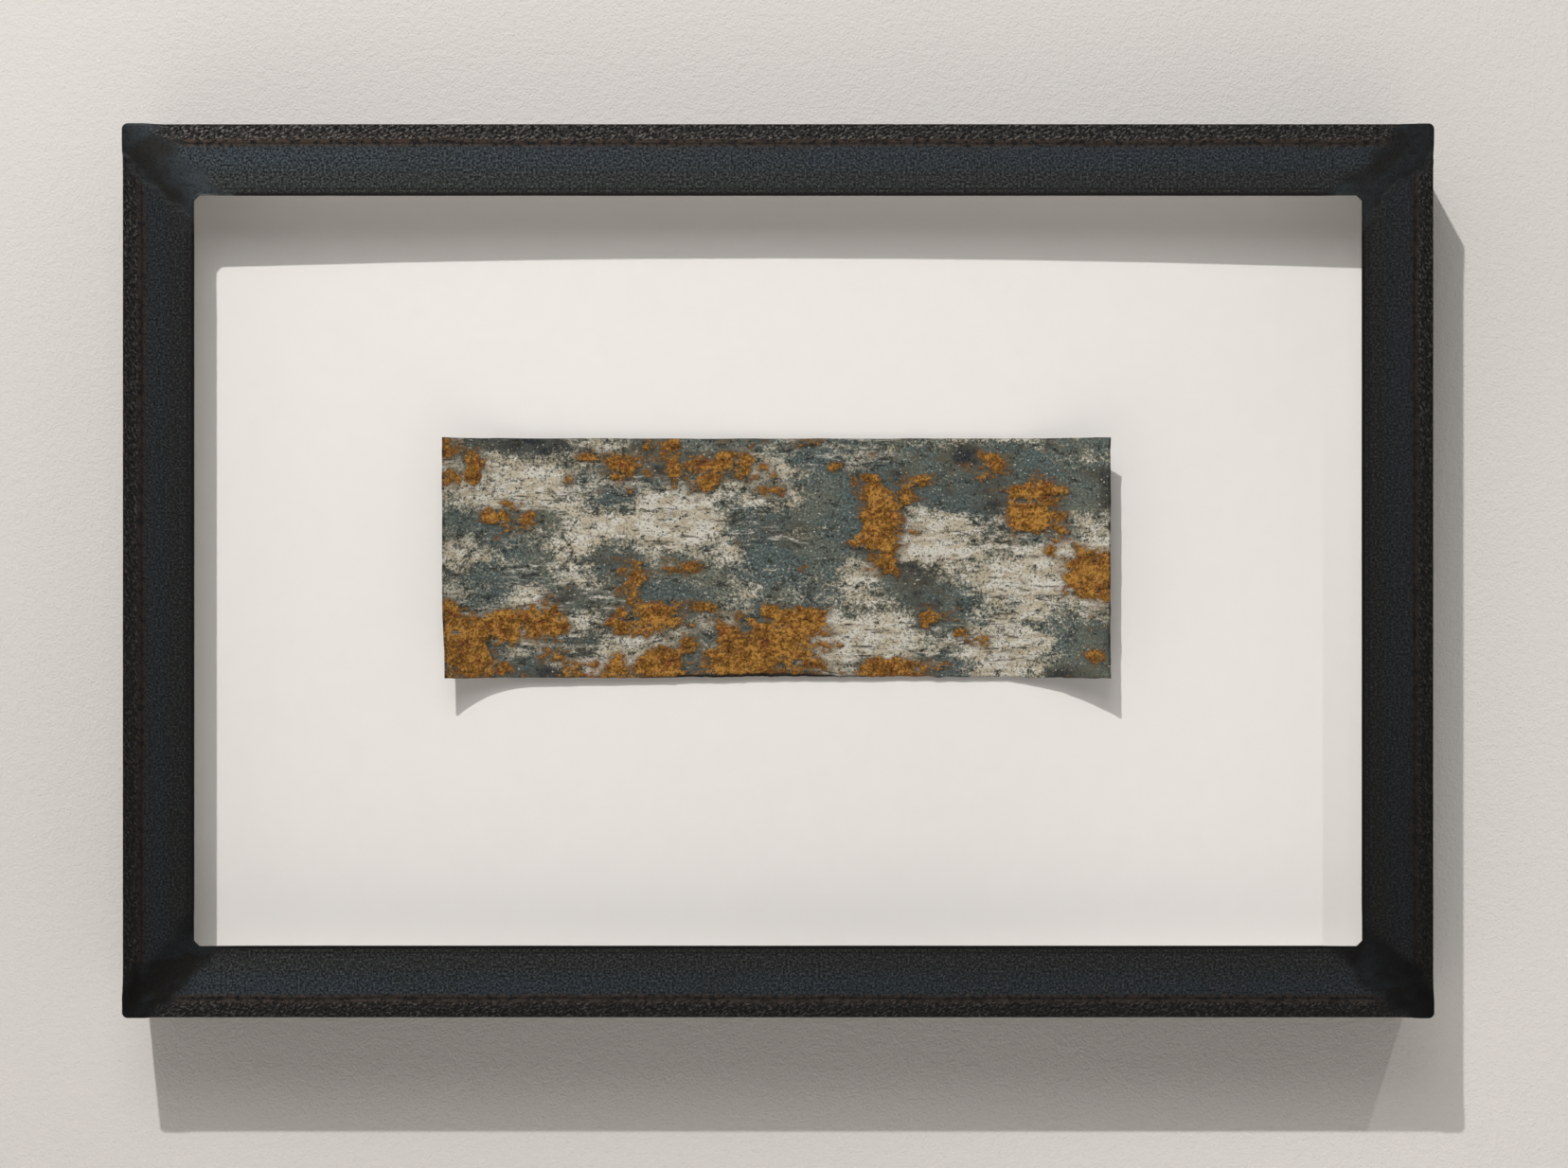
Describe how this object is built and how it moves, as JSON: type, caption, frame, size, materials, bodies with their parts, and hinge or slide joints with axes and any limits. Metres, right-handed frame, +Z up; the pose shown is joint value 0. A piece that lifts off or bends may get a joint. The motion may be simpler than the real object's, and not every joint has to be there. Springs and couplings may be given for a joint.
{
  "type": "floating frame",
  "caption": "Deep wall-hung picture frame of mitred, welded dark steel angle, glazed, with a crowned white board and a curled weathered sheet floated on hidden risers.",
  "frame": {"origin": "on the wall plane, at the centre of the wall cleat's screw holes", "axes": "+Z up, +X right as seen from the front, +Y into the wall; the front faces -Y"},
  "size_m": [0.9, 0.102, 0.614],
  "materials": {
    "blackened_steel": "hot-rolled mill scale, blackened and waxed",
    "ground_weld": "ground smooth, blackened and waxed",
    "foam_tape": "closed-cell foam",
    "pane": "low-reflection",
    "neoprene": "matt",
    "white_batten": "painted white, matt",
    "white_board": "matt white museum board",
    "weathered_sheet": "weathered patina with chalk and rust",
    "riser_alloy": "mill finish",
    "pine": "planed, unfinished",
    "hardboard": "smooth hardboard",
    "birch_ply": "sanded and oiled",
    "felt": "dense wool felt",
    "zinc_steel": "zinc plated",
    "brass_button": "brass plated, dull"
  },
  "bodies": {
    "wall_cleat": {"wall_cleat": "birch_ply"},
    "frame": {"top_rail": "blackened_steel", "bottom_rail": "blackened_steel", "left_stile": "blackened_steel", "right_stile": "blackened_steel", "corner_weld_top_left": "ground_weld", "corner_weld_top_right": "ground_weld", "corner_weld_bottom_left": "ground_weld", "corner_weld_bottom_right": "ground_weld", "tape_top": "foam_tape", "tape_bottom": "foam_tape", "tape_left": "foam_tape", "tape_right": "foam_tape", "glass_pane": "pane", "setting_blocks": "neoprene", "spacer_top": "white_batten", "spacer_bottom": "white_batten", "spacer_left": "white_batten", "spacer_right": "white_batten", "mount_board": "white_board", "strainer_top": "pine", "strainer_bottom": "pine", "strainer_left": "pine", "strainer_right": "pine", "strainer_upright_left": "pine", "strainer_upright_right": "pine", "strainer_screws": "zinc_steel", "cover_screws": "zinc_steel", "float_screws": "zinc_steel", "float_washers": "zinc_steel", "button_screws": "zinc_steel", "button_washers": "zinc_steel", "frame_cleat_screws": "zinc_steel", "lower_spacer_screws": "zinc_steel", "back_cover": "hardboard", "art_sheet": "weathered_sheet", "float_riser_left": "riser_alloy", "float_riser_right": "riser_alloy", "button_lugs": "blackened_steel", "frame_cleat": "birch_ply", "lower_spacer": "birch_ply", "felt_strip": "felt"},
    "turn_button_top_left": {"turn_button_top_left": "brass_button"},
    "turn_button_top_right": {"turn_button_top_right": "brass_button"},
    "turn_button_bottom_left": {"turn_button_bottom_left": "brass_button"},
    "turn_button_bottom_right": {"turn_button_bottom_right": "brass_button"},
    "turn_button_left_upper": {"turn_button_left_upper": "brass_button"},
    "turn_button_left_lower": {"turn_button_left_lower": "brass_button"},
    "turn_button_right_upper": {"turn_button_right_upper": "brass_button"},
    "turn_button_right_lower": {"turn_button_right_lower": "brass_button"}
  },
  "joints": [
    {"name": "lift_off", "type": "slide", "parent": "wall_cleat", "child": "frame", "axis": [0, 0, 1], "range_m": [0, 0.014]},
    {"name": "turn_top_left", "type": "hinge", "parent": "frame", "child": "turn_button_top_left", "pos_m": [-0.37, -0.0144, 0.0728], "axis": [0, 1, 0], "range_deg": [0, 90]},
    {"name": "turn_top_right", "type": "hinge", "parent": "frame", "child": "turn_button_top_right", "pos_m": [0.37, -0.0144, 0.0728], "axis": [0, 1, 0], "range_deg": [0, 90]},
    {"name": "turn_bottom_left", "type": "hinge", "parent": "frame", "child": "turn_button_bottom_left", "pos_m": [-0.37, -0.0144, -0.5172], "axis": [0, 1, 0], "range_deg": [0, 90]},
    {"name": "turn_bottom_right", "type": "hinge", "parent": "frame", "child": "turn_button_bottom_right", "pos_m": [0.37, -0.0144, -0.5172], "axis": [0, 1, 0], "range_deg": [0, 90]},
    {"name": "turn_left_upper", "type": "hinge", "parent": "frame", "child": "turn_button_left_upper", "pos_m": [-0.438, -0.0144, -0.1222], "axis": [0, 1, 0], "range_deg": [0, 90]},
    {"name": "turn_left_lower", "type": "hinge", "parent": "frame", "child": "turn_button_left_lower", "pos_m": [-0.438, -0.0144, -0.3222], "axis": [0, 1, 0], "range_deg": [0, 90]},
    {"name": "turn_right_upper", "type": "hinge", "parent": "frame", "child": "turn_button_right_upper", "pos_m": [0.438, -0.0144, -0.1222], "axis": [0, 1, 0], "range_deg": [0, 90]},
    {"name": "turn_right_lower", "type": "hinge", "parent": "frame", "child": "turn_button_right_lower", "pos_m": [0.438, -0.0144, -0.3222], "axis": [0, 1, 0], "range_deg": [0, 90]}
  ]
}
